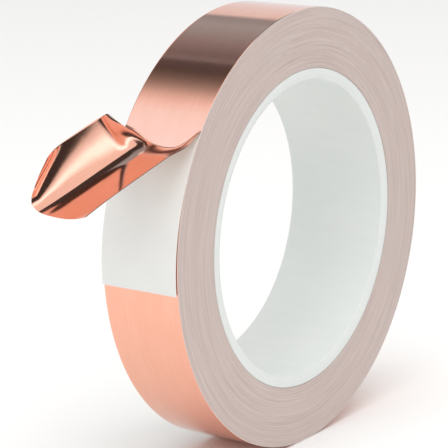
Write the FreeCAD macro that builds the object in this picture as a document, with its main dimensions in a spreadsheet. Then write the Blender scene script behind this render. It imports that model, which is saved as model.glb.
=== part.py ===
import FreeCAD, Part
import math
import os
from FreeCAD import Vector, Placement, Rotation, Matrix

# Roll of adhesive copper foil tape on a plastic core.
#
# Frame: X is the axis of the roll, +X the side on which core and tape end
# flush, +Z up. The origin is on the axis, half way across the tape.
# Angles round the roll ("clock" angles) start at -Y and grow towards +Z, so
# 90 is the top of the roll. The outermost turn starts at the peel line, runs
# up over the top, down the back, and passes under its own beginning.
# Lengths are millimetres, angles degrees.

os.makedirs("parts", exist_ok=True)
doc = FreeCAD.newDocument("copper_foil_tape_roll")

# ---------------------------------------------------------------- dimensions
sheet = doc.addObject("Spreadsheet::Sheet", "Sizes")
CELLS = [
    ("core_bore_radius", 38.0),      # 76 mm (3 inch class) core
    ("core_wall", 2.87),
    ("core_length", 28.85),          # stands 7.2 mm proud of the tape on the -X side
    ("core_start_x", -18.05),
    ("core_chamfer", 0.45),
    ("tape_width", 21.72),
    ("roll_radius", 56.23),
    ("foil_thickness", 0.05),
    ("adhesive_thickness", 0.03),
    ("liner_thickness", 0.08),
    ("peel_angle", 34.84),           # clock angle of the line where the foil leaves its liner
    ("bend_radius", 4.07),           # foil bends outwards over this radius
    ("bend_turn", 40.56),
    ("liner_stub_turn", 3.05),       # liner that stays down just below the peel line
    ("hinge_gap_turn", 0.12),
    ("tail_radius", 59.2),           # the free liner is a little flatter than the roll
    ("tail_turn", 35.4),
    ("tail_gap", 0.06),
    ("flap_length", 49.02),
    ("flap_start", 3.02),
    ("flap_slope", 14.3),           # the flap points this far below level
    ("flap_droop", 2.0),
    ("flap_flat_width", 9.35),       # flat part, from the +X edge
    ("flap_crease", 11.7),           # middle of the tight curl beside it
    ("flap_tip_start", 13.55),       # the cut end slants back from here
    ("flap_tip_cut", 9.14),
    ("flap_near_cut", 3.73),
]
for row, (alias, value) in enumerate(CELLS, start=1):
    sheet.set("A%d" % row, alias)
    sheet.set("B%d" % row, repr(value))
    sheet.setAlias("B%d" % row, alias)
# sums used by several pieces
DERIVED = [
    ("core_outer_radius", "=core_bore_radius + core_wall"),
    ("turn_pitch", "=foil_thickness + adhesive_thickness + liner_thickness"),
    ("glue_depth", "=foil_thickness + adhesive_thickness"),
]
for row, (alias, formula) in enumerate(DERIVED, start=len(CELLS) + 1):
    sheet.set("A%d" % row, alias)
    sheet.set("B%d" % row, formula)
    sheet.setAlias("B%d" % row, alias)
doc.recompute()
G = {alias: float(sheet.get(alias)) for alias, _ in CELLS + DERIVED}

W = G["tape_width"]
R = G["roll_radius"]
PITCH = G["turn_pitch"]
PEEL = G["peel_angle"]


def clock(a, r=1.0):
    """Point of the YZ plane at clock angle a and radius r."""
    return Vector(0.0, -r * math.cos(math.radians(a)), r * math.sin(math.radians(a)))


def sector_place(start, centre=Vector(0, 0, 0), x=None):
    """Placement of a cylinder along +X whose sector runs from clock angle
    start down through its Angle."""
    e = clock(start)
    f = Vector(1, 0, 0).cross(e)
    m = Matrix(e.x, f.x, 1, 0, e.y, f.y, 0, 0, e.z, f.z, 0, 0, 0, 0, 0, 1)
    p = Placement(m)
    p.Base = Vector(-W / 2 if x is None else x, centre.y, centre.z)
    return p


def cylinder(name, radius, start, turn, centre=Vector(0, 0, 0)):
    """Sector of a cylinder across the tape. radius and turn are expressions."""
    c = doc.addObject("Part::Cylinder", name)
    c.setExpression("Radius", radius)
    c.setExpression("Height", "Sizes.tape_width")
    if turn is None:
        c.Angle = 360
    else:
        c.setExpression("Angle", turn)
    c.Placement = sector_place(start, centre)
    return c


def band(name, outer, inner, start, turn, centre=Vector(0, 0, 0)):
    """Curved strip between two radii."""
    a = cylinder(name + "_outside", outer, start, turn, centre)
    b = cylinder(name + "_inside", inner, start, None, centre)
    c = doc.addObject("Part::Cut", name)
    c.Base, c.Tool = a, b
    return c


def union(name, *members):
    f = doc.addObject("Part::MultiFuse", name)
    f.Shapes = list(members)
    return f


# ---------------------------------------------------------------- core tube
core = doc.addObject("PartDesign::Body", "CoreTube")
core.Label = "core_tube"


def plane(body, role):
    return [o for o in body.Origin.OriginFeatures if o.Role == role][0]


ring = core.newObject("Sketcher::SketchObject", "CoreSection")
ring.AttachmentSupport = [(plane(core, "XY_Plane"), "")]
ring.MapMode = "FlatFace"
import Sketcher
for k, alias in enumerate(("core_outer_radius", "core_bore_radius")):
    ring.addGeometry(Part.Circle(Vector(0, 0, 0), Vector(0, 0, 1), G[alias]), False)
    ring.addConstraint(Sketcher.Constraint("Coincident", k, 3, -1, 1))
    n = ring.addConstraint(Sketcher.Constraint("Radius", k, G[alias]))
    ring.setExpression("Constraints[%d]" % n, "Sizes." + alias)
pad = core.newObject("PartDesign::Pad", "CorePad")
pad.Profile = ring
pad.setExpression("Length", "Sizes.core_length")
doc.recompute()
rims = ["Edge%d" % (i + 1) for i, e in enumerate(pad.Shape.Edges)
        if isinstance(e.Curve, Part.Circle)]
edge = core.newObject("PartDesign::Chamfer", "CoreChamfer")
edge.Base = (pad, rims)
edge.setExpression("Size", "Sizes.core_chamfer")
core.Tip = edge
m = Matrix(0, 0, 1, 0, 1, 0, 0, 0, 0, 1, 0, 0, 0, 0, 0, 1)
core.Placement = Placement(m)
core.Placement.Base = Vector(G["core_start_x"], 0, 0)
pl = core.Placement
pl.Base = Vector(G["core_start_x"], 0, 0)
core.Placement = pl

# ---------------------------------------------------------------- wound pack
# All turns inside the outermost one. Its outline is the next turn of the
# spiral: two half circles whose centres are a quarter pitch apart, with one
# step, a pitch high, at the peel line.
C2 = clock(PEEL, -PITCH / 2)
half_a = cylinder("PackHalfA", "Sizes.roll_radius - Sizes.turn_pitch", PEEL + 180, "180")
half_b = cylinder("PackHalfB", "Sizes.roll_radius - 1.5 * Sizes.turn_pitch", PEEL + 360, "180", C2)
disc = union("PackDisc", half_a, half_b)
bore = cylinder("PackBore", "Sizes.core_outer_radius", 0, None)
pack = doc.addObject("Part::Cut", "WoundTape")
pack.Base, pack.Tool = disc, bore
pack.Label = "wound_tape"


# ---------------------------------------------------------------- outermost turn
def turn(name, depth_top, depth_bottom):
    a = band(name + "A", "Sizes.roll_radius - (%s)" % depth_top,
             "Sizes.roll_radius - (%s)" % depth_bottom, PEEL + 180, "180")
    b = band(name + "B", "Sizes.roll_radius - Sizes.turn_pitch / 2 - (%s)" % depth_top,
             "Sizes.roll_radius - Sizes.turn_pitch / 2 - (%s)" % depth_bottom, PEEL + 360, "180", C2)
    return a, b


# the foil and its adhesive end in the bend that lifts them off the liner
BEND_C = clock(PEEL, R + G["bend_radius"])
BEND_END = PEEL + 180 + G["bend_turn"]
fa, fb = turn("FoilTurn", "0", "Sizes.foil_thickness")
fl = band("FoilBend", "Sizes.bend_radius + Sizes.foil_thickness", "Sizes.bend_radius",
          BEND_END, "Sizes.bend_turn", BEND_C)
foil = union("OuterFoil", fa, fb, fl)
foil.Label = "outer_foil"

ga, gb = turn("GlueTurn", "Sizes.foil_thickness", "Sizes.glue_depth")
gl = band("GlueBend", "Sizes.bend_radius + Sizes.glue_depth",
          "Sizes.bend_radius + Sizes.foil_thickness", BEND_END, "Sizes.bend_turn", BEND_C)
# the radii differ by the foil, so the bend starts at the peel line as the foil's does
glue = union("OuterAdhesive", ga, gb, gl)
glue.Label = "outer_adhesive"

la, lb = turn("LinerTurn", "Sizes.glue_depth", "Sizes.turn_pitch")
ls = band("LinerStub", "Sizes.roll_radius - Sizes.glue_depth",
          "Sizes.roll_radius - Sizes.turn_pitch", PEEL, "Sizes.liner_stub_turn")
liner = union("OuterLiner", la, lb, ls)
liner.Label = "outer_liner"

# ---------------------------------------------------------------- liner tail
# Bare release liner between the peel line and its cut end. It lies on the
# turn below and stands off a little towards its end.
TAIL_A = PEEL - G["liner_stub_turn"] - G["hinge_gap_turn"]
r_in = R - PITCH + G["tail_gap"]
tail_c = clock(TAIL_A, r_in - G["tail_radius"])
tail = band("LinerTail", "Sizes.tail_radius + Sizes.liner_thickness", "Sizes.tail_radius",
            TAIL_A, "Sizes.tail_turn", tail_c)
tail.Label = "liner_tail"


# ---------------------------------------------------------------- peeled foil flap
# The free end of the foil: flat beside its +X edge, turned up at a crease and
# then curled over along straight rulings that fan out towards the cut end.
STATIONS = (0.0, 0.12, 0.30, 0.50, 0.72, 0.88, 1.0)
LEAN = (0.0, 8.0, -3.0, -3.2, -3.4, -1.9, 1.2)        # slope of the flat part, degrees
CURL, GENTLE, RAMP = 48.0, 0.42, 13.5                 # turn at the crease, its softer share
RULED = ((13.9, 9.81, 0.0790), (28.4, 32.41, -0.3861))  # turn, and the line v = a + b u it keeps to
EDGE_TURN = 12.0                                      # degrees per mm beyond the last ruling


def smooth(x):
    x = min(max(x, 0.0), 1.0)
    return x * x * (3 - 2 * x)


def along(table, t):
    """Monotone cubic through the station table."""
    xs, ys = STATIONS, table
    n = len(xs)
    dx = [xs[i + 1] - xs[i] for i in range(n - 1)]
    sl = [(ys[i + 1] - ys[i]) / dx[i] for i in range(n - 1)]
    der = [0.0] * n
    for i in range(1, n - 1):
        if sl[i - 1] * sl[i] > 0:
            w1, w2 = 2 * dx[i] + dx[i - 1], dx[i] + 2 * dx[i - 1]
            der[i] = (w1 + w2) / (w1 / sl[i - 1] + w2 / sl[i])
    for i, j, a, b in ((0, 1, 0, 1), (n - 1, n - 2, n - 2, n - 3)):
        d = ((2 * dx[a] + dx[b]) * sl[a] - dx[a] * sl[b]) / (dx[a] + dx[b])
        if d * sl[a] <= 0:
            d = 0.0
        elif sl[a] * sl[b] <= 0 and abs(d) > 3 * abs(sl[a]):
            d = 3 * sl[a]
        der[i] = d
    k = 0
    while k < n - 2 and t > xs[k + 1]:
        k += 1
    q = (t - xs[k]) / dx[k]
    return ((1 + 2 * q) * (1 - q) ** 2 * ys[k] + q * (1 - q) ** 2 * dx[k] * der[k]
            + q * q * (3 - 2 * q) * ys[k + 1] + q * q * (q - 1) * dx[k] * der[k + 1])


def end_u(v):
    """Length of the strip at v: the end is cut square, then slants."""
    near = G["flap_near_cut"] * max(1 - v / 7.0, 0.0) ** 2
    k = min(max((v - G["flap_tip_start"]) / (W - G["flap_tip_start"]), 0.0), 1.0)
    return G["flap_length"] - near - G["flap_tip_cut"] * k ** 1.25


def flap_rows(us):
    """Section of the flap at each u: point, normal and the curled profile."""
    L, flat, crease = G["flap_length"], G["flap_flat_width"], G["flap_crease"]
    n_path, n_sec = 1600, 320
    ps0 = 90 - PEEL
    path = []
    p = clock(PEEL, R)
    y, z = p.y, p.z
    last = None
    for k in range(n_path + 1):
        u = L * k / n_path
        ps = math.radians(ps0 + (G["flap_slope"] - ps0) * smooth(u / 2.88) + G["flap_droop"] * (u / L) ** 2)
        d = (-math.cos(ps), -math.sin(ps))
        if last is not None:
            y += (d[0] + last[0]) / 2 * L / n_path
            z += (d[1] + last[1]) / 2 * L / n_path
        last = d
        path.append((y, z, ps))
    (t1, a1, b1), (t2, a2, b2) = RULED
    rows = []
    for u in us:
        y, z, ps = path[min(round(u / L * n_path), n_path)]
        s = along(LEAN, u / L)
        k1 = a1 + b1 * u
        k2 = max(a2 + b2 * u, k1 + 1)

        def ruled(v):
            if v <= crease:
                return 0.0
            if k1 > crease and v < k1:
                return t1 * (v - crease) / (k1 - crease)
            low = max(k1, crease)
            if v < k2:
                return t1 + (t2 - t1) * (v - low) / (k2 - low)
            return t2 + EDGE_TURN * (v - k2)

        def turned(v):
            # even out the ruled turn over 1.6 mm
            q = [ruled(v + 0.8 * e) * math.exp(-0.5 * e * e) for e in (-2, -1.5, -1, -0.5, 0, 0.5, 1, 1.5, 2)]
            n = [math.exp(-0.5 * e * e) for e in (-2, -1.5, -1, -0.5, 0, 0.5, 1, 1.5, 2)]
            return sum(q) / sum(n)

        cx, cn, an = [0.0], [0.0], []
        for j in range(n_sec + 1):
            v = W * j / n_sec
            bent = GENTLE * smooth((v - 7.8) / 3.6) + (1 - GENTLE) * smooth((v - crease + 1.1) / 2.2)
            an.append(math.radians(s * smooth(u / 5.0) + (CURL * bent + turned(v)) * smooth(u / RAMP)))
            if j:
                cx.append(cx[-1] - (math.cos(an[j]) + math.cos(an[j - 1])) / 2 * W / n_sec)
                cn.append(cn[-1] + (math.sin(an[j]) + math.sin(an[j - 1])) / 2 * W / n_sec)
        k0 = round(flat / 2 / W * n_sec)
        x0 = W / 2 - flat / 2 - cx[k0]
        rows.append((y, z, -math.sin(ps), math.cos(ps), [x0 + q for q in cx], [q - cn[k0] for q in cn], an))
    return rows


def flap_grid(us, depth, nv=33):
    """Grid of points on the flap, depth below its copper face."""
    L, n_sec, fine = G["flap_length"], 320, 240
    table = flap_rows([L * k / fine for k in range(fine + 1)])

    def at(u, j):
        q = min(max(u / L * fine, 0.0), fine - 1e-9)
        i = int(q)
        out = []
        for y, z, ny, nz, cx, cn, an in table[i:i + 2]:
            x = cx[j] - depth * math.sin(an[j])
            h = cn[j] - depth * math.cos(an[j])
            out.append(Vector(x, y + h * ny, z + h * nz))
        return out[0] * (1 - (q - i)) + out[1] * (q - i)

    rows = []
    for u in us:
        row = []
        for i in range(nv):
            j = round(i / (nv - 1) * n_sec)
            k = min(max((u - 12.0) / (L - 12.0), 0.0), 1.0)
            row.append(at(u - (L - end_u(W * j / n_sec)) * k, j))
        rows.append(row)
    return rows


def sheet_solid(grid, beyond, thickness):
    """Closed solid of the given thickness on the side of the surface through
    grid where the grid beyond lies."""
    b = Part.BSplineSurface()
    b.interpolate(grid)
    skin = b.toShape()
    made = [skin.makeOffsetShape(k * thickness, 1e-4, fill=True) for k in (1, -1)]
    i, j = len(grid) // 2, len(grid[0]) // 2
    want = beyond[i][j] - grid[i][j]
    probe = grid[i][j] + want * 0.5
    for s in made:
        if s.isValid() and len(s.Solids) == 1 and s.Solids[0].isInside(probe, 1e-5, True):
            return s.Solids[0]
    raise RuntimeError("no offset solid")


us = [G["flap_start"] + (G["flap_length"] - G["flap_start"]) * k / 18 for k in range(19)]
face = flap_grid(us, 0.0)
back = flap_grid(us, G["foil_thickness"])
base = flap_grid(us, G["glue_depth"])
flap = doc.addObject("Part::Feature", "FoilFlap")
flap.Label = "foil_flap"
flap.Shape = sheet_solid(face, back, G["foil_thickness"])
flap.Placement = Placement()
film = doc.addObject("Part::Feature", "FlapAdhesive")
film.Label = "flap_adhesive"
film.Shape = sheet_solid(back, base, G["adhesive_thickness"])
film.Placement = Placement()

doc.recompute()

# ---------------------------------------------------------------- checks and export
PIECES = [core, pack, foil, glue, liner, tail, flap, film]
for obj in doc.Objects:
    if "Invalid" in obj.State or "Error" in obj.State:
        raise RuntimeError("%s failed: %s" % (obj.Name, obj.State))
for obj in PIECES:
    if obj.Shape.isNull() or not obj.Shape.isValid() or not obj.Shape.Solids:
        raise RuntimeError("%s has no valid solid" % obj.Label)
for obj in PIECES:
    b = obj.Shape.BoundBox
    print("%-16s solids %d volume %10.2f  x %.2f..%.2f y %.2f..%.2f z %.2f..%.2f" % (
        obj.Label, len(obj.Shape.Solids), obj.Shape.Volume, b.XMin, b.XMax, b.YMin, b.YMax, b.ZMin, b.ZMax))
    obj.Shape.exportStep("parts/%s.step" % obj.Label)
print("tail hinge", clock(TAIL_A, R - PITCH / 2 - 0.02))
e = BEND_C + clock(BEND_END, G["bend_radius"] + 0.025)
print("flap hinge", e)
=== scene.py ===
import math

import bpy
import numpy as np
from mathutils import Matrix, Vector


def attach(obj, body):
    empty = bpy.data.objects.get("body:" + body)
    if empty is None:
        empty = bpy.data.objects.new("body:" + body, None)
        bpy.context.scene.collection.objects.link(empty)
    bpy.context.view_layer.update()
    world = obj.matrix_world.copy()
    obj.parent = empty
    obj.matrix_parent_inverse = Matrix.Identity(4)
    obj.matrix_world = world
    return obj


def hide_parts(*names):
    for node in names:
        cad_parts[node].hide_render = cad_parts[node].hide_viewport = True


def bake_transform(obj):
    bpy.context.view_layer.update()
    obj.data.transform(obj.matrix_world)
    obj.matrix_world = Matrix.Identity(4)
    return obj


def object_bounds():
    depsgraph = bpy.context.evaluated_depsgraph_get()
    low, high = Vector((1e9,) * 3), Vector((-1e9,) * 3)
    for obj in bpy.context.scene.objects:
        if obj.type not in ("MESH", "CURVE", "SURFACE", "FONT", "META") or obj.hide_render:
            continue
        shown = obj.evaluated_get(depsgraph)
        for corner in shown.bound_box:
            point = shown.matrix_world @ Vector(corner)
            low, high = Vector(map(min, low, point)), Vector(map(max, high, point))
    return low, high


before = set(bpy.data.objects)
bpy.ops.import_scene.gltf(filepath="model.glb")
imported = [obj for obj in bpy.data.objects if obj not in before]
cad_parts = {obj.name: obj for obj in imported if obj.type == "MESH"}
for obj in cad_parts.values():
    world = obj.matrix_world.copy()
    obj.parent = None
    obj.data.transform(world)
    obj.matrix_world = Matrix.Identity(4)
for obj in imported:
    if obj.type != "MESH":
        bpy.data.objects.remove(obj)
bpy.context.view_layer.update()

# Roll of adhesive copper foil tape. X is the axis of the roll, +X the flush
# side, +Z up. Angles round the roll start at -Y and grow towards +Z. Lengths
# in this script are millimetres until put() turns them into metres.
W = 21.72
R = 56.23
FOIL, GLUE, LINER = 0.05, 0.03, 0.08
PITCH = FOIL + GLUE + LINER
PEEL = 34.84
CORE_R, BORE_R = 40.87, 38.0
CORE_X0, CORE_X1 = -18.05, 10.80


def rad(a):
    return np.asarray(a, float) * (math.pi / 180)


def smooth(x):
    x = np.clip(x, 0.0, 1.0)
    return x * x * (3 - 2 * x)


def clock(a, r):
    """(y, z) at clock angle a and radius r."""
    return -r * np.cos(rad(a)), r * np.sin(rad(a))


def on_turn(t, depth):
    """(y, z) on the outermost turn, t degrees past the peel line."""
    t = np.asarray(t, float)
    ya, za = clock(PEEL + t, R - depth)
    cy, cz = clock(PEEL, -PITCH / 2)
    yb, zb = clock(PEEL + t, R - PITCH / 2 - depth)
    first = t <= 180
    return np.where(first, ya, cy + yb), np.where(first, za, cz + zb)


def wave(x, period, seed, octaves=3):
    """Smooth repeatable 1-D noise, about -1 to 1."""
    g = np.random.default_rng(seed)
    out = np.zeros_like(np.asarray(x, float))
    for k in range(octaves):
        for _ in range(3):
            out += g.uniform(0.4, 1.0) * np.sin(
                2 * math.pi * np.asarray(x) / period * 2 ** k * g.uniform(0.7, 1.3) + g.uniform(0, 6.28)) / 1.7 ** k
    return out / 3.2


# ------------------------------------------------------------------ meshes
def put(name, verts, faces, uvs=None, sharp=None):
    me = bpy.data.meshes.new(name)
    me.from_pydata((np.asarray(verts) * 0.001).tolist(), [], [list(map(int, f)) for f in faces])
    me.update()
    me.shade_smooth()
    if uvs is not None:
        layer = me.uv_layers.new(name="strip")
        idx = np.empty(len(me.loops), np.int64)
        me.loops.foreach_get("vertex_index", idx)
        layer.data.foreach_set("uv", (np.asarray(uvs)[idx] * 0.01).astype(np.float32).ravel())
    if sharp is not None:
        keys = {}
        ev = np.empty(len(me.edges) * 2, np.int64)
        me.edges.foreach_get("vertices", ev)
        ev = np.sort(ev.reshape(-1, 2), axis=1)
        want = {(min(a, b), max(a, b)) for a, b in sharp}
        flag = np.array([(int(a), int(b)) in want for a, b in ev])
        att = me.attributes.new("sharp_edge", "BOOLEAN", "EDGE")
        att.data.foreach_set("value", flag)
    ob = bpy.data.objects.new(name, me)
    bpy.context.scene.collection.objects.link(ob)
    return ob


def slab(name, top, low, uv):
    """Closed thin solid between two grids of points (nu, nv, 3)."""
    nu, nv = top.shape[:2]
    idx = np.arange(nu * nv).reshape(nu, nv)
    low_idx = idx + nu * nv
    f = []

    def quads(g, flip):
        a, b, c, d = g[:-1, :-1], g[1:, :-1], g[1:, 1:], g[:-1, 1:]
        q = np.stack([a, b, c, d] if not flip else [d, c, b, a], -1).reshape(-1, 4)
        f.append(q)

    quads(idx, False)
    quads(low_idx, True)
    sharp = []
    ring = list(idx[:, 0]) + list(idx[-1, 1:]) + list(idx[-2::-1, -1]) + list(idx[0, -2:0:-1])
    ring_low = list(low_idx[:, 0]) + list(low_idx[-1, 1:]) + list(low_idx[-2::-1, -1]) + list(low_idx[0, -2:0:-1])
    n = len(ring)
    side = [[ring[(k + 1) % n], ring[k], ring_low[k], ring_low[(k + 1) % n]] for k in range(n)]
    f.append(np.array(side))
    for k in range(n):
        sharp.append((ring[k], ring[(k + 1) % n]))
        sharp.append((ring_low[k], ring_low[(k + 1) % n]))
    for i in (idx[0, 0], idx[0, -1], idx[-1, 0], idx[-1, -1]):
        sharp.append((i, i + nu * nv))
    faces = np.concatenate(f)
    verts = np.concatenate([top.reshape(-1, 3), low.reshape(-1, 3)])
    # outward faces: the first quad of the top faces away from the low grid
    q = faces[(nu // 2) * (nv - 1) + nv // 2]
    a, b, c = verts[q[0]], verts[q[1]], verts[q[2]]
    away = verts[q[0]] - verts[q[0] + nu * nv]
    if np.dot(np.cross(b - a, c - a), away) < 0:
        faces = faces[:, ::-1]
    uvs = np.concatenate([uv.reshape(-1, 2), uv.reshape(-1, 2)])
    return put(name, verts, faces, uvs, sharp)


def across(n, edge=(0.0, 0.03, 0.08, 0.16, 0.30)):
    """Positions across the strip, packed close at both edges."""
    inner = np.linspace(edge[-1], W - edge[-1], n)
    e = np.array(edge[:-1])
    return np.concatenate([e, inner, W - e[::-1]])


def turn_grid(ts, vs, depth, edge_dip=0.0, ripple=None):
    T, V = np.meshgrid(ts, vs, indexing="ij")
    e = np.minimum(V, W - V)
    d = depth + edge_dip * np.clip(1 - e / 0.16, 0, 1) ** 2
    if ripple is not None:
        d = d + ripple(-R * rad(T), V)
    y, z = on_turn(T, d)
    return np.stack([W / 2 - V, y, z], -1)


def turn_uv(ts, vs):
    T, V = np.meshgrid(ts, vs, indexing="ij")
    return np.stack([-R * rad(T), V], -1)


def foil_ripple(s, v):
    """Very slight waviness that a thin foil keeps; millimetres inward."""
    a = wave(s, 31.0, 11) * 0.55 + wave(s + 2.2 * v, 17.0, 12) * 0.3 + wave(v + 0.15 * s, 9.0, 13) * 0.35
    return 0.008 * (0.6 + 0.4 * a)


# ------------------------------------------------------------------ shader helpers
class Nodes:
    def __init__(self, name):
        self.m = bpy.data.materials.new(name)
        self.m.use_nodes = True
        self.t = self.m.node_tree
        self.t.nodes.clear()
        self.out = self.n("ShaderNodeOutputMaterial")
        self.b = self.n("ShaderNodeBsdfPrincipled")
        self.l(self.b.outputs[0], self.out.inputs[0])

    def n(self, kind, **kw):
        x = self.t.nodes.new(kind)
        for k, v in kw.items():
            setattr(x, k, v)
        return x

    def l(self, a, b):
        self.t.links.new(a, b)

    def val(self, sock, v):
        if hasattr(v, "is_output") or isinstance(v, bpy.types.NodeSocket):
            self.l(v, sock)
        else:
            sock.default_value = v

    def math(self, op, a, b=0.0, c=0.0, clamp=False):
        x = self.n("ShaderNodeMath", operation=op, use_clamp=clamp)
        self.val(x.inputs[0], a)
        if len(x.inputs) > 1:
            self.val(x.inputs[1], b)
        if len(x.inputs) > 2:
            self.val(x.inputs[2], c)
        return x.outputs[0]

    def xyz(self, v):
        x = self.n("ShaderNodeSeparateXYZ")
        self.l(v, x.inputs[0])
        return x.outputs

    def vec(self, a, b, c):
        x = self.n("ShaderNodeCombineXYZ")
        for s, v in zip(x.inputs, (a, b, c)):
            self.val(s, v)
        return x.outputs[0]

    def noise(self, vec, scale, detail=3.0, rough=0.55, dims="3D"):
        x = self.n("ShaderNodeTexNoise", noise_dimensions=dims)
        if dims != "1D":
            self.l(vec, x.inputs["Vector"])
        else:
            self.l(vec, x.inputs["W"])
        x.inputs["Scale"].default_value = scale
        x.inputs["Detail"].default_value = detail
        x.inputs["Roughness"].default_value = rough
        return x.outputs["Fac"]

    def ramp(self, fac, stops):
        x = self.n("ShaderNodeValToRGB")
        self.l(fac, x.inputs[0])
        el = x.color_ramp.elements
        while len(el) > 1:
            el.remove(el[-1])
        el[0].position, el[0].color = stops[0][0], (*stops[0][1], 1)
        for p, c in stops[1:]:
            q = el.new(p)
            q.color = (*c, 1)
        return x.outputs[0]

    def mix(self, fac, a, b, blend="MIX"):
        x = self.n("ShaderNodeMix", data_type="RGBA", blend_type=blend)
        self.val(x.inputs[0], fac)
        for i, v in ((6, a), (7, b)):
            if isinstance(v, tuple):
                v = (*v, 1)
            self.val(x.inputs[i], v)
        return x.outputs[2]

    def remap(self, v, a, b, c, d):
        x = self.n("ShaderNodeMapRange")
        self.l(v, x.inputs[0])
        for i, k in enumerate((a, b, c, d)):
            x.inputs[i + 1].default_value = k
        return x.outputs[0]

    def bump(self, height, distance, strength=1.0, normal=None):
        x = self.n("ShaderNodeBump")
        self.l(height, x.inputs["Height"])
        x.inputs["Distance"].default_value = distance
        x.inputs["Strength"].default_value = strength
        if normal is not None:
            self.l(normal, x.inputs["Normal"])
        return x.outputs[0]

    def strip(self):
        """(along, across) of the tape in millimetres."""
        u = self.n("ShaderNodeUVMap", uv_map="strip")
        x, y, _ = self.xyz(u.outputs[0])
        return self.math("MULTIPLY", x, 100.0), self.math("MULTIPLY", y, 100.0)

    def place(self):
        t = self.n("ShaderNodeTexCoord")
        return t.outputs["Object"]


def copper():
    k = Nodes("copper_foil")
    s, v = k.strip()
    # lengthwise rolling grain
    grain = k.noise(k.vec(k.math("MULTIPLY", s, 0.05), k.math("MULTIPLY", v, 4.0), 0.0), 1.0, 5.0, 0.65)
    fine = k.noise(k.vec(k.math("MULTIPLY", s, 0.25), k.math("MULTIPLY", v, 16.0), 3.0), 1.0, 3.0, 0.6)
    cloud = k.noise(k.vec(k.math("MULTIPLY", s, 0.09), k.math("MULTIPLY", v, 0.22), 7.0), 1.0, 3.0, 0.5)
    base = k.mix(k.remap(cloud, 0.3, 0.7, 0.0, 1.0), (0.960, 0.515, 0.392), (0.930, 0.480, 0.356))
    tint = k.mix(k.remap(grain, 0.35, 0.7, 0.0, 0.55), base, (0.86, 0.42, 0.29))
    tint = k.mix(k.remap(fine, 0.52, 0.72, 0.0, 0.22), tint, (0.78, 0.36, 0.25))
    k.l(tint, k.b.inputs["Base Color"])
    k.b.inputs["Metallic"].default_value = 1.0
    rough = k.math("ADD", k.remap(fine, 0.3, 0.75, 0.045, 0.13), k.remap(cloud, 0.3, 0.7, 0.0, 0.03))
    k.l(rough, k.b.inputs["Roughness"])
    n1 = k.bump(grain, 0.0000018)
    k.l(n1, k.b.inputs["Normal"])
    return k.m


def adhesive():
    k = Nodes("acrylic_adhesive")
    s, v = k.strip()
    c = k.noise(k.vec(k.math("MULTIPLY", s, 0.3), k.math("MULTIPLY", v, 0.5), 0.0), 1.0, 4.0, 0.6)
    k.l(k.ramp(c, [(0.3, (0.62, 0.36, 0.25)), (0.7, (0.74, 0.47, 0.34))]), k.b.inputs["Base Color"])
    k.b.inputs["Metallic"].default_value = 0.55
    k.l(k.remap(c, 0.3, 0.7, 0.28, 0.42), k.b.inputs["Roughness"])
    k.b.inputs["Coat Weight"].default_value = 0.5
    k.b.inputs["Coat Roughness"].default_value = 0.12
    k.l(k.bump(k.noise(k.vec(k.math("MULTIPLY", s, 2.0), k.math("MULTIPLY", v, 2.0), 0.0), 1.0, 3.0), 0.00001),
        k.b.inputs["Normal"])
    return k.m


def paper():
    k = Nodes("release_liner")
    s, v = k.strip()
    fibre = k.noise(k.vec(k.math("MULTIPLY", s, 2.2), k.math("MULTIPLY", v, 3.0), 0.0), 1.0, 5.0, 0.62)
    cloud = k.noise(k.vec(k.math("MULTIPLY", s, 0.12), k.math("MULTIPLY", v, 0.16), 2.0), 1.0, 3.0, 0.5)
    base = k.mix(k.remap(cloud, 0.3, 0.7, 0.0, 1.0), (0.800, 0.812, 0.795), (0.775, 0.785, 0.765))
    base = k.mix(k.remap(fibre, 0.35, 0.65, 0.0, 0.25), base, (0.77, 0.765, 0.75))
    k.l(base, k.b.inputs["Base Color"])
    k.l(k.remap(fibre, 0.3, 0.7, 0.42, 0.56), k.b.inputs["Roughness"])
    k.l(k.bump(fibre, 0.000012), k.b.inputs["Normal"])
    return k.m


def plastic():
    k = Nodes("core_plastic")
    x, y, z = k.xyz(k.place())
    ang = k.math("ARCTAN2", z, y)
    cloud = k.noise(k.place(), 45.0, 3.0, 0.5)
    flow = k.noise(k.vec(k.math("MULTIPLY", x, 60.0), k.math("MULTIPLY", ang, 14.0), 0.0), 1.0, 4.0, 0.6)
    speck = k.noise(k.place(), 2600.0, 2.0, 0.5)
    base = k.mix(k.remap(cloud, 0.3, 0.7, 0.0, 1.0), (0.715, 0.742, 0.722), (0.742, 0.762, 0.740))
    base = k.mix(k.remap(flow, 0.35, 0.7, 0.0, 0.3), base, (0.68, 0.712, 0.695))
    k.l(base, k.b.inputs["Base Color"])
    k.l(k.remap(flow, 0.3, 0.7, 0.36, 0.50), k.b.inputs["Roughness"])
    k.b.inputs["Subsurface Weight"].default_value = 0.0
    n = k.bump(speck, 0.000010)
    k.l(k.bump(flow, 0.00003, normal=n), k.b.inputs["Normal"])
    return k.m


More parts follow.
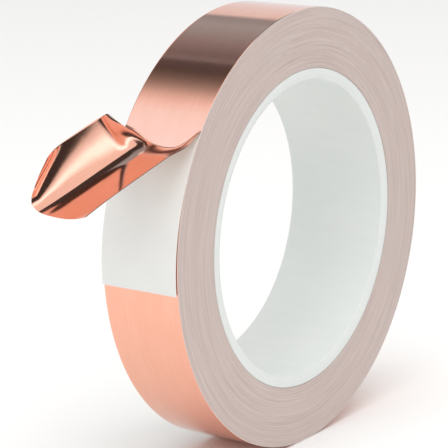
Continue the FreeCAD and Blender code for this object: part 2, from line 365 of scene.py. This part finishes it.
def wound_edges():
    """Cut edges of the wound turns: foil, adhesive and liner in a spiral."""
    k = Nodes("wound_tape_edges")
    x, y, z = k.xyz(k.place())
    r = k.math("SQRT", k.math("ADD", k.math("MULTIPLY", y, y), k.math("MULTIPLY", z, z)))
    ang = k.math("ARCTAN2", z, k.math("MULTIPLY", y, -1.0))
    cy = k.math("DIVIDE", y, r)
    cz = k.math("DIVIDE", z, r)
    turn = k.math("SUBTRACT", k.math("MULTIPLY", r, 1000.0 / PITCH), k.math("MULTIPLY", ang, -1 / (2 * math.pi)))
    # single turns
    layer = k.math("FRACT", turn)
    foil_line = k.ramp(layer, [(0.0, (0, 0, 0)), (0.10, (1, 1, 1)), (0.30, (1, 1, 1)), (0.40, (0, 0, 0))])
    # bundles of turns that sit proud or sunk, a few turns wide and long in angle
    bundle = k.noise(k.vec(k.math("MULTIPLY", turn, 0.42), k.math("MULTIPLY", cy, 0.8), k.math("MULTIPLY", cz, 0.8)),
                     1.0, 2.5, 0.7)
    streak = k.noise(k.vec(k.math("MULTIPLY", turn, 1.1), k.math("MULTIPLY", cy, 2.4), k.math("MULTIPLY", cz, 2.4)),
                     1.0, 3.0, 0.6)
    cloud = k.noise(k.vec(k.math("MULTIPLY", turn, 0.04), k.math("MULTIPLY", cy, 1.7), k.math("MULTIPLY", cz, 1.7)),
                    1.0, 3.0, 0.5)
    base = k.mix(k.remap(cloud, 0.3, 0.7, 0.0, 1.0), (0.590, 0.482, 0.452), (0.545, 0.448, 0.420))
    base = k.mix(k.remap(bundle, 0.38, 0.62, 0.0, 0.6), base, (0.625, 0.54, 0.515))
    base = k.mix(k.remap(streak, 0.50, 0.66, 0.0, 0.62), base, (0.42, 0.32, 0.29))
    base = k.mix(k.remap(streak, 0.46, 0.32, 0.0, 0.30), base, (0.74, 0.67, 0.64))
    tick = k.math("MULTIPLY", foil_line, 0.30)
    base = k.mix(tick, base, (0.50, 0.27, 0.19))
    # the dark seam beside the core
    seam = k.math("MULTIPLY", k.remap(r, 0.04087, 0.04112, 1.0, 0.0), 0.75)
    base = k.mix(seam, base, (0.30, 0.25, 0.23))
    k.l(base, k.b.inputs["Base Color"])
    k.l(k.remap(streak, 0.3, 0.7, 0.38, 0.6), k.b.inputs["Roughness"])
    h = k.math("ADD", k.math("MULTIPLY", bundle, 1.0), k.math("MULTIPLY", streak, 0.5))
    n = k.bump(h, 0.00008)
    k.l(k.bump(foil_line, 0.000010, normal=n), k.b.inputs["Normal"])
    return k.m


COPPER, ADHESIVE, PAPER, PLASTIC, EDGES = copper(), adhesive(), paper(), plastic(), wound_edges()


def dress(ob, material):
    ob.data.materials.append(material)
    return ob


# ------------------------------------------------------------------ outermost turn
SEAM = 4.0    # degrees past the peel line at which the free end's piece begins
vs = across(44)
ts = np.concatenate([[SEAM, SEAM + 0.02, SEAM + 0.1], np.linspace(SEAM + 0.5, 359.5, 719), [360.0]])
top = turn_grid(ts, vs, 0.0, 0.045, foil_ripple)
low = turn_grid(ts, vs, FOIL)
foil = slab("foil_turn", top, low, turn_uv(ts, vs))
dress(foil, COPPER)
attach(foil, "roll")
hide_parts("outer_foil")

vq = across(20)
tq = np.linspace(0.0, 360.0, 721)
glue = slab("adhesive_turn", turn_grid(tq, vq, FOIL + 0.004), turn_grid(tq, vq, FOIL + GLUE), turn_uv(tq, vq))
dress(glue, ADHESIVE)
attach(glue, "roll")
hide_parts("outer_adhesive")

tl = np.linspace(0.0, 360.0, 721)
liner = slab("liner_turn", turn_grid(tl, vq, FOIL + GLUE + 0.003), turn_grid(tl, vq, PITCH - 0.003), turn_uv(tl, vq))
dress(liner, PAPER)
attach(liner, "roll")
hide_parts("outer_liner")

# ------------------------------------------------------------------ free end of the foil
L = 49.02
FLAT, CREASE, GENTLE = 9.35, 11.7, 0.42
STATIONS = (0.0, 0.12, 0.30, 0.50, 0.72, 0.88, 1.0)
LEAN = (0.0, 8.0, -3.0, -3.2, -3.4, -1.9, 1.2)


def along(table, t):
    """Monotone cubic through a station table."""
    xs, q = np.array(STATIONS), np.array(table, float)
    dx = np.diff(xs)
    sl = np.diff(q) / dx
    n = len(xs)
    der = np.zeros(n)
    for i in range(1, n - 1):
        if sl[i - 1] * sl[i] > 0:
            w1, w2 = 2 * dx[i] + dx[i - 1], dx[i] + 2 * dx[i - 1]
            der[i] = (w1 + w2) / (w1 / sl[i - 1] + w2 / sl[i])
    for i, a, b in ((0, 0, 1), (n - 1, n - 2, n - 3)):
        d = ((2 * dx[a] + dx[b]) * sl[a] - dx[a] * sl[b]) / (dx[a] + dx[b])
        if d * sl[a] <= 0:
            d = 0.0
        elif sl[a] * sl[b] <= 0 and abs(d) > 3 * abs(sl[a]):
            d = 3 * sl[a]
        der[i] = d
    t = np.asarray(t, float)
    k = np.clip(np.searchsorted(xs, t, side="left") - 1, 0, n - 2)
    h = (t - xs[k]) / dx[k]
    return ((1 + 2 * h) * (1 - h) ** 2 * q[k] + h * (1 - h) ** 2 * dx[k] * der[k]
            + h * h * (3 - 2 * h) * q[k + 1] + h * h * (h - 1) * dx[k] * der[k + 1])


# how far past the peel line the foil still lies on the roll, across the strip
STAY_V = (0.0, 0.5, 1.1, 1.8, 3.0, 4.7, 5.8, 7.4, 9.0, 10.4, 11.8, 13.2, 14.6, 16.5, 19.0, W)
STAY_U = (-0.4, -0.1, 0.6, 1.6, 2.9, 4.2, 4.7, 5.0, 5.1, 4.9, 4.6, 4.1, 3.5, 2.5, 1.3, 0.5)
# rulings of the curled side: turn in degrees and the lines v = a + b u they keep to
CURL, RAMP = 48.0, 13.5
RULED = ((13.9, 9.81, 0.0790), (28.4, 32.41, -0.3861))
EDGE_TURN = 12.0    # degrees per mm beyond the last ruling
TIP_V, TIP_CUT, NEAR_CUT = 13.55, 9.14, 3.73 # the cut end slants back from here towards the -X edge


def stay(v):
    q = np.linspace(-1, W + 1, 600)
    y = np.interp(q, STAY_V, STAY_U)
    kern = np.exp(-0.5 * (np.arange(-40, 41) * (q[1] - q[0]) / 0.42) ** 2)
    y = np.convolve(np.pad(y, 40, mode="edge"), kern / kern.sum(), mode="valid")
    return np.interp(v, q, y)


def end_u(v):
    """Length of the strip at v: the end is cut square, then slants."""
    v = np.asarray(v, float)
    near = NEAR_CUT * np.clip(1 - v / 7.0, 0, 1) ** 2
    return L - near - TIP_CUT * np.clip((v - TIP_V) / (W - TIP_V), 0, 1) ** 1.25


def flap_surface(us, vs):
    """Copper face of the free end (nu, nv, 3), from the peel line to the cut end."""
    us, vs = np.asarray(us, float), np.asarray(vs, float)
    nu, dv = 700, 0.04
    ug = np.linspace(0, L, nu + 1)
    du = ug[1]
    ps0 = 90 - PEEL
    old = rad(ps0 + (14.3 - ps0) * smooth(ug / 2.88) + 2.0 * (ug / L) ** 2)
    slope = 14.3 + 2.0 * (ug / L) ** 2
    start = np.array(clock(PEEL, R))

    def walk(ps):
        d = np.stack([-np.cos(ps), -np.sin(ps)], -1)
        z = np.zeros_like(d[:1])
        return start + np.concatenate([z, np.cumsum((d[1:] + d[:-1]) / 2 * du, 0)])

    p_old = walk(old)
    meet = int(round(18.0 / du))
    n_meet = np.array([-math.sin(old[meet]), math.cos(old[meet])])
    leave, bend = stay(vs), 1.25

    def path(first):
        tangent = ps0 + ug[:, None] / R * 180 / math.pi
        k = smooth((ug[:, None] - leave - bend) / (18.0 - leave - bend))
        free = first + (slope[:, None] - first) * k
        m = smooth((ug[:, None] - leave + 0.15) / bend)
        ps = rad(tangent + (free - tangent) * m)
        return ps, walk(ps)

    f0, f1 = np.full(len(vs), 14.0), np.full(len(vs), 4.0)
    g0 = (path(f0)[1][meet] - p_old[meet]) @ n_meet
    for _ in range(4):
        g1 = (path(f1)[1][meet] - p_old[meet]) @ n_meet
        f0, f1, g0 = f1, f1 - g1 * (f1 - f0) / np.where(abs(g1 - g0) < 1e-9, 1e-9, g1 - g0), g1
    ps, p = path(f1)
    n2 = np.stack([-np.sin(ps), np.cos(ps)], -1)
    t = ug / L
    s = along(LEAN, t)
    v = np.arange(0, W + dv / 2, dv)
    bent = GENTLE * smooth((v - 7.8) / 3.6) + (1 - GENTLE) * smooth((v - CREASE + 0.45) / 0.9)
    (t1, a1, b1), (t2, a2, b2) = RULED
    far = W + 6.0
    more = np.array([np.interp(v, (CREASE, a1 + b1 * q, max(a2 + b2 * q, a1 + b1 * q + 1), far), (0, t1, t2, t2 + EDGE_TURN * (far - a2 - b2 * q)))
                     for q in ug])
    kern = np.exp(-0.5 * ((v[:, None] - v[None]) / 0.8) ** 2)
    more = more @ (kern / kern.sum(0))
    late = ug[:, None] - stay(v)[None]
    an = rad(s[:, None] * smooth((late + 0.2) / 3.0) + (CURL * bent[None] + more) * smooth((late + 0.2) / RAMP))
    co, si = np.cos(an), np.sin(an)
    z0 = np.zeros((len(an), 1))
    cx = np.concatenate([z0, -np.cumsum((co[:, 1:] + co[:, :-1]) / 2 * dv, 1)], 1)
    cn = np.concatenate([z0, np.cumsum((si[:, 1:] + si[:, :-1]) / 2 * dv, 1)], 1)
    k0 = int(round(FLAT / 2 / dv))
    jx = np.clip(vs / dv, 0, len(v) - 1.001)
    j, fj = jx.astype(int), jx - jx.astype(int)
    take = lambda g: g[:, j] * (1 - fj) + g[:, j + 1] * fj
    x = W / 2 - FLAT / 2 + take(cx) - cx[:, k0:k0 + 1]
    h = take(cn) - cn[:, k0:k0 + 1]
    table = np.stack([x, p[..., 0] + h * n2[..., 0], p[..., 1] + h * n2[..., 1]], -1)
    # rows follow the slanted end
    U = us[:, None] - (L - end_u(vs))[None] * np.clip((us[:, None] - 12.0) / (L - 12.0), 0, 1)
    k = np.clip((U / du).astype(int), 1, nu - 2)
    f = (U / du - k)[..., None]
    col = np.arange(len(vs))[None]
    a, b, c_, d = (table[k + i, col] for i in (-1, 0, 1, 2))
    return b + 0.5 * f * (c_ - a + f * (2 * a - 5 * b + 4 * c_ - d + f * (3 * (b - c_) + d - a))), U


def normals(grid):
    """Unit normals of a grid of points."""
    a = np.gradient(grid, axis=0)
    b = np.gradient(grid, axis=1)
    n = np.cross(a, b)
    return n / np.linalg.norm(n, axis=-1, keepdims=True)


def free_end(us, vs):
    """Copper face from the seam on the roll (us < 0) to the cut end."""
    on_roll = us[us < 0]
    rows = turn_grid(-on_roll / R * 180 / math.pi, vs, 0.0)
    flap, U = flap_surface(us[us >= 0], vs)
    return np.concatenate([rows, flap]), np.concatenate([np.repeat(on_roll[:, None], len(vs), 1), U])


u0 = -R * float(rad(SEAM))
uf = np.concatenate([[u0, u0 + 0.02, u0 + 0.1], np.linspace(u0 + 0.4, 0, 10)[:-1], np.linspace(0, 8.0, 121)[:-1],
                     np.linspace(8.0, L - 0.4, 110), [L - 0.2, L - 0.08, L]])
vf = np.unique(np.concatenate([across(72), np.linspace(8.5, 14.5, 40)]))
face, U = free_end(uf, vf)
V = np.repeat(vf[None], len(uf), 0)
nrm = normals(face)
if nrm[0, 5] @ np.array([0, *clock(PEEL, 1.0)]) < 0:
    nrm = -nrm
edge = np.minimum(V, W - V)
dip = 0.045 * np.clip(1 - edge / 0.16, 0, 1) ** 2
ripple = foil_ripple(U, V) * 1.0
ftop = face - nrm * (dip + ripple)[..., None]
fuv = np.stack([U, V], -1)
free = slab("foil_free_end", ftop, face - nrm * FOIL, fuv)
dress(free, COPPER)
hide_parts("foil_flap")
gm = uf >= 0
film = slab("flap_adhesive_film", (face - nrm * (FOIL + 0.004))[gm], (face - nrm * (FOIL + GLUE))[gm], fuv[gm])
dress(film, ADHESIVE)
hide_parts("flap_adhesive")
py, pz = clock(PEEL, R)
for ob in (free, film):
    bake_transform(ob)

# ------------------------------------------------------------------ bare liner below the peel line
TAIL_T = 40.6      # degrees of bare liner


def tail_grid(bs, vs, depth):
    B, V = np.meshgrid(bs, vs, indexing="ij")
    lift = 0.004 + 0.60 * smooth((B - 6.0) / (TAIL_T - 6.0)) ** 1.3
    lift = lift + 0.05 * wave(V + 0.3 * B, 14.0, 31) * smooth(B / 14.0)
    r = R - PITCH + LINER - depth + np.maximum(lift, 0.004)
    y, z = clock(PEEL - B, r)
    return np.stack([W / 2 - V, y, z], -1)


bs = np.concatenate([np.linspace(0.02, TAIL_T - 0.3, 120), [TAIL_T - 0.1, TAIL_T]])
vt = across(40)
B, V = np.meshgrid(bs, vt, indexing="ij")
tuv = np.stack([R * rad(B), V], -1)
tail = slab("liner_tail_sheet", tail_grid(bs, vt, 0.0), tail_grid(bs, vt, LINER), tuv)
dress(tail, PAPER)
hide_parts("liner_tail")
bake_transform(tail)

# ------------------------------------------------------------------ wound pack
NT, NR = 512, 96


def pack_outline(t):
    """Radius of the pack's outside, t degrees past the peel line."""
    y, z = on_turn(t, PITCH)
    return np.hypot(y, z)


pt = np.linspace(0.0, 359.3, NT)
rho = pack_outline(pt) - 0.004
q = np.linspace(0.0, 1.0, NR)


def side_relief(seed):
    """How far single turns are sunk below the side face."""
    g = np.random.default_rng(seed)
    T, Q = np.meshgrid(rad(pt), q, indexing="ij")
    n = Q * (NR - 1) + T / (2 * math.pi)
    out = np.zeros_like(T)
    for period, amp in ((3.1, 0.30), (4.7, 0.35), (7.9, 0.30), (2.3, 0.18), (17.0, 0.3)):
        for _ in range(2):
            ph = g.uniform(0, 6.28)
            a1, a2 = g.uniform(0.3, 1.1), g.uniform(0, 6.28)
            out += amp * np.sin(2 * math.pi * n / period * g.uniform(0.85, 1.15) + ph + a1 * np.sin(T + a2)
                                + 0.6 * np.sin(2 * T + a2 * 1.7))
    out = out / np.abs(out).max()
    close = smooth(Q / 0.02)
    return 0.045 * (0.5 + 0.5 * out) + 0.12 * (1 - close) ** 2


sides = []
for sign, seed in ((1, 21), (-1, 22)):
    T, Q = np.meshgrid(pt, q, indexing="ij")
    rr = CORE_R + 0.004 + (rho[:, None] - CORE_R - 0.004) * Q
    y, z = clock(PEEL + T, rr)
    sides.append(np.stack([sign * (W / 2 - side_relief(seed)), y, z], -1))
# one closed ring: +X face from the core outwards, over the outside, -X face inwards, bore wall
prof = np.concatenate([sides[0], sides[1][:, ::-1]], 1)
n_prof = prof.shape[1]
ids = np.arange(NT * n_prof).reshape(NT, n_prof)
a = ids
b = np.roll(ids, -1, 0)
f = np.stack([a, b, np.roll(b, -1, 1), np.roll(a, -1, 1)], -1).reshape(-1, 4)
sharp = []
for c in (NR - 1, NR, 0, n_prof - 1):
    sharp += list(zip(ids[:, c].tolist(), np.roll(ids[:, c], -1).tolist()))
v3 = prof.reshape(-1, 3)
c0 = v3[f[NR // 2]]
if np.cross(c0[1] - c0[0], c0[2] - c0[0])[0] < 0:
    f = f[:, ::-1]
pack = put("wound_turns", v3, f, None, sharp)
dress(pack, EDGES)
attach(pack, "roll")
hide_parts("wound_tape")


# ------------------------------------------------------------------ core
def lathe(name, profile, n=384):
    """Closed ring turned round X from a loop of (x, r) points."""
    p = np.array(profile)
    th = np.linspace(0, 2 * math.pi, n, endpoint=False)
    g = np.stack([np.broadcast_to(p[None, :, 0], (n, len(p))),
                  -np.cos(th)[:, None] * p[None, :, 1], np.sin(th)[:, None] * p[None, :, 1]], -1)
    ids = np.arange(n * len(p)).reshape(n, len(p))
    a, b = ids, np.roll(ids, -1, 0)
    f = np.stack([a, b, np.roll(b, -1, 1), np.roll(a, -1, 1)], -1).reshape(-1, 4)
    v = g.reshape(-1, 3)
    vol = 0.0
    for q in f[: len(p)]:
        vol += np.dot(v[q[0]], np.cross(v[q[1]], v[q[2]])) + np.dot(v[q[0]], np.cross(v[q[2]], v[q[3]]))
    if vol < 0:
        f = f[:, ::-1]
    return put(name, v, f)


def rounded(pts, k=6):
    """Closed loop of (x, r, fillet) corners turned into points."""
    out = []
    n = len(pts)
    for i, (x, r, f) in enumerate(pts):
        p = np.array([x, r])
        a = np.array(pts[i - 1][:2]) - p
        b = np.array(pts[(i + 1) % n][:2]) - p
        la, lb = np.linalg.norm(a), np.linalg.norm(b)
        if f <= 0:
            out.append(p)
            continue
        a, b = a / la, b / lb
        half = math.acos(np.clip(a @ b, -1, 1)) / 2
        d = min(f / math.tan(half), la * 0.49, lb * 0.49)
        fr = d * math.tan(half)
        c = p + (a + b) / np.linalg.norm(a + b) * fr / math.sin(half)
        s, e = p + a * d, p + b * d
        ts_, te = math.atan2(*(s - c)[::-1]), math.atan2(*(e - c)[::-1])
        dt = (te - ts_ + math.pi) % (2 * math.pi) - math.pi
        for j in range(k + 1):
            t = ts_ + dt * j / k
            out.append(c + fr * np.array([math.cos(t), math.sin(t)]))
    return out


loop = [(CORE_X1, CORE_R, 0.18), (CORE_X0, CORE_R, 0.35)]
loop += [(CORE_X0, BORE_R, 0.45)]
loop += [(CORE_X1 - 0.42, BORE_R, 0.35), (CORE_X1 - 0.02, 39.30, 0.25)]
core = lathe("core_ring", rounded(loop))
dress(core, PLASTIC)
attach(core, "roll")
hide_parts("core_tube")

# ------------------------------------------------------------------ floor
FLOOR_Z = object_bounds()[0].z - 0.00005
me = bpy.data.meshes.new("floor")
S = 14.0
g = np.linspace(-S, S, 9)
gx, gy = np.meshgrid(g, g, indexing="ij")
vv = np.stack([gx, gy, np.full_like(gx, FLOOR_Z)], -1).reshape(-1, 3)
ids = np.arange(81).reshape(9, 9)
ff = np.stack([ids[:-1, :-1], ids[1:, :-1], ids[1:, 1:], ids[:-1, 1:]], -1).reshape(-1, 4)
me.from_pydata(vv.tolist(), [], ff.tolist())
floor = bpy.data.objects.new("floor", me)
bpy.context.scene.collection.objects.link(floor)
k = Nodes("pale_floor")
c = k.noise(k.place(), 3.0, 2.0)
k.l(k.ramp(c, [(0.3, (0.90, 0.90, 0.90)), (0.7, (0.91, 0.91, 0.905))]), k.b.inputs["Base Color"])
k.b.inputs["Roughness"].default_value = 0.95
k.b.inputs["Specular IOR Level"].default_value = 0.0
me.materials.append(k.m)

# ------------------------------------------------------------------ studio light
world = bpy.data.worlds.new("studio")
bpy.context.scene.world = world
world.use_nodes = True
wt = world.node_tree
wt.nodes.clear()
wo = wt.nodes.new("ShaderNodeOutputWorld")
bg = wt.nodes.new("ShaderNodeBackground")
plain = wt.nodes.new("ShaderNodeBackground")
plain.inputs[0].default_value = (0.97, 0.97, 0.97, 1)
mixw = wt.nodes.new("ShaderNodeMixShader")
path = wt.nodes.new("ShaderNodeLightPath")
tc = wt.nodes.new("ShaderNodeTexCoord")
sep = wt.nodes.new("ShaderNodeSeparateXYZ")
wt.links.new(tc.outputs["Generated"], sep.inputs[0])
neg = wt.nodes.new("ShaderNodeMath")
neg.operation = "MULTIPLY"
neg.inputs[1].default_value = -1.0
wt.links.new(sep.outputs[1], neg.inputs[0])
at = wt.nodes.new("ShaderNodeMath")
at.operation = "ARCTAN2"
wt.links.new(sep.outputs[2], at.inputs[0])
wt.links.new(neg.outputs[0], at.inputs[1])
mr = wt.nodes.new("ShaderNodeMapRange")
mr.inputs[1].default_value = -math.pi
mr.inputs[2].default_value = math.pi
wt.links.new(at.outputs[0], mr.inputs[0])


def bands(stops):
    """Light cards round the X axis: (angle from -Y over the top, radiance)."""
    r = wt.nodes.new("ShaderNodeValToRGB")
    wt.links.new(mr.outputs[0], r.inputs[0])
    el = r.color_ramp.elements
    while len(el) > 1:
        el.remove(el[-1])
    for i, (ph, c) in enumerate(stops):
        c = c if isinstance(c, tuple) else (c, c, c)
        e_ = el[0] if i == 0 else el.new((ph + 180) / 360)
        e_.position = (ph + 180) / 360
        e_.color = (*(x * 0.5 for x in c), 1)
    return r.outputs[0]


def by_side(lo_, hi_, first, second):
    """first towards -X, second towards +X."""
    m_ = wt.nodes.new("ShaderNodeMapRange")
    m_.interpolation_type = "SMOOTHSTEP"
    m_.inputs[1].default_value, m_.inputs[2].default_value = lo_, hi_
    wt.links.new(sep.outputs[0], m_.inputs[0])
    x = wt.nodes.new("ShaderNodeMix")
    x.data_type = "RGBA"
    wt.links.new(m_.outputs[0], x.inputs[0])
    wt.links.new(first, x.inputs[6])
    wt.links.new(second, x.inputs[7])
    return x.outputs[2]


LOW = [(-180, 0.95), (0, 0.9), (38, 0.95), (48, (1.1, 1.35, 1.6)), (58, (1.1, 1.3, 1.5)), (66, (1.05, 1.22, 1.36)),
       (71, (1.0, 1.03, 1.1)), (76, 0.73), (80, 0.45), (84, 0.26), (88, 0.15), (92, 0.09)]
SHELL = LOW + [(98.5, (0.10, 0.10, 0.12)), (100.3, (0.24, 0.28, 0.32)), (102, (0.20, 0.24, 0.27)), (103.5, (0.165, 0.18, 0.21)),
               (112, (0.25, 0.28, 0.33)), (122, (0.32, 0.42, 0.48)), (132, (0.37, 0.50, 0.58)), (140.5, (0.30, 0.38, 0.43)),
               (142.5, (0.30, 0.38, 0.43)), (144.5, (0.84, 0.88, 0.91)), (165, (0.84, 0.88, 0.92)), (180, (0.85, 0.9, 0.95))]
WARM = LOW + [(98.5, 0.10), (104, 0.85), (128, 0.95), (133, (0.90, 0.47, 0.33)), (162, (0.90, 0.47, 0.33)), (170, 0.8), (180, 0.9)]
MIDDLE = [(-180, 0.05), (-164, 0.05), (-158, 0.9), (0, 0.9), (38, 0.95), (48, (1.1, 1.35, 1.6)), (66, (1.05, 1.25, 1.4)), (100, 1.05), (108, 0.9), (113, 0.06), (138, 0.05), (141, 1.0), (141.5, 1.0), (143.5, (1.6, 1.95, 2.1)), (147, (1.6, 1.95, 2.1)), (150, (0.95, 1.03, 1.08)), (153, 0.95),
                (156, 0.05), (180, 0.05)]
PLUS = [(-180, 0.05), (-164, 0.05), (-158, 0.9)] + LOW[1:] + [(95, 0.12), (100, 0.7), (106, 1.0), (141, 1.0), (143.5, (1.6, 1.95, 2.1)), (147, (1.6, 1.95, 2.1)), (150, (0.95, 1.03, 1.08)), (153, 0.95),
              (156, 0.05), (180, 0.05)]
sky = by_side(0.03, 0.08,
              by_side(-0.48, -0.36, by_side(-0.618, -0.600, bands(WARM), bands(SHELL)), bands(MIDDLE)), bands(PLUS))
wt.links.new(sky, bg.inputs[0])
bg.inputs[1].default_value = 2.0
soft = wt.nodes.new("ShaderNodeBackground")
rise = wt.nodes.new("ShaderNodeValToRGB")
lift_ = wt.nodes.new("ShaderNodeMapRange")
lift_.inputs[1].default_value, lift_.inputs[2].default_value = -1.0, 1.0
wt.links.new(sep.outputs[2], lift_.inputs[0])
wt.links.new(lift_.outputs[0], rise.inputs[0])
rise.color_ramp.elements[0].color = (0.74, 0.73, 0.72, 1)
rise.color_ramp.elements[1].color = (1.0, 0.99, 0.975, 1)
wt.links.new(rise.outputs[0], soft.inputs[0])
soft.inputs[1].default_value = 0.93
both = wt.nodes.new("ShaderNodeMixShader")
wt.links.new(path.outputs["Is Diffuse Ray"], both.inputs[0])
wt.links.new(bg.outputs[0], both.inputs[1])
wt.links.new(soft.outputs[0], both.inputs[2])
wt.links.new(path.outputs["Is Camera Ray"], mixw.inputs[0])
wt.links.new(both.outputs[0], mixw.inputs[1])
wt.links.new(plain.outputs[0], mixw.inputs[2])
wt.links.new(mixw.outputs[0], wo.inputs[0])


def area(name, where, aim, size, power, glossy=False):
    d = bpy.data.lights.new(name, "AREA")
    d.shape = "RECTANGLE"
    d.size, d.size_y = size
    d.energy = power
    o = bpy.data.objects.new(name, d)
    bpy.context.scene.collection.objects.link(o)
    o.location = where
    o.rotation_mode = "QUATERNION"
    o.rotation_quaternion = (Vector(aim) - Vector(where)).to_track_quat("-Z", "Y")
    o.visible_glossy = glossy
    return o


area("soft_top", (0.25, -0.35, 0.95), (0, 0, 0), (0.9, 0.9), 5.0)

# ------------------------------------------------------------------ camera
AZ, EL, DIST, F = math.radians(33.29), math.radians(12.83), 0.5325, 2073.0
back = Vector((math.sin(AZ) * math.cos(EL), -math.cos(AZ) * math.cos(EL), math.sin(EL)))
right = Vector((math.cos(AZ), math.sin(AZ), 0.0))
up = back.cross(right)
cam = bpy.data.objects.new("camera", bpy.data.cameras.new("camera"))
bpy.context.scene.collection.objects.link(cam)
cam.location = back * DIST
cam.data.sensor_width = 36.0
cam.data.lens = 36.0 * F / 448
look = (right * (-46.9 / F) - up * (0.9 / F) - back).normalized()
cam.rotation_mode = "QUATERNION"
cam.rotation_quaternion = look.to_track_quat("-Z", "Y")
cam.data.clip_start, cam.data.clip_end = 0.01, 100.0
bpy.context.scene.camera = cam
bpy.context.scene.view_settings.view_transform = "Standard"
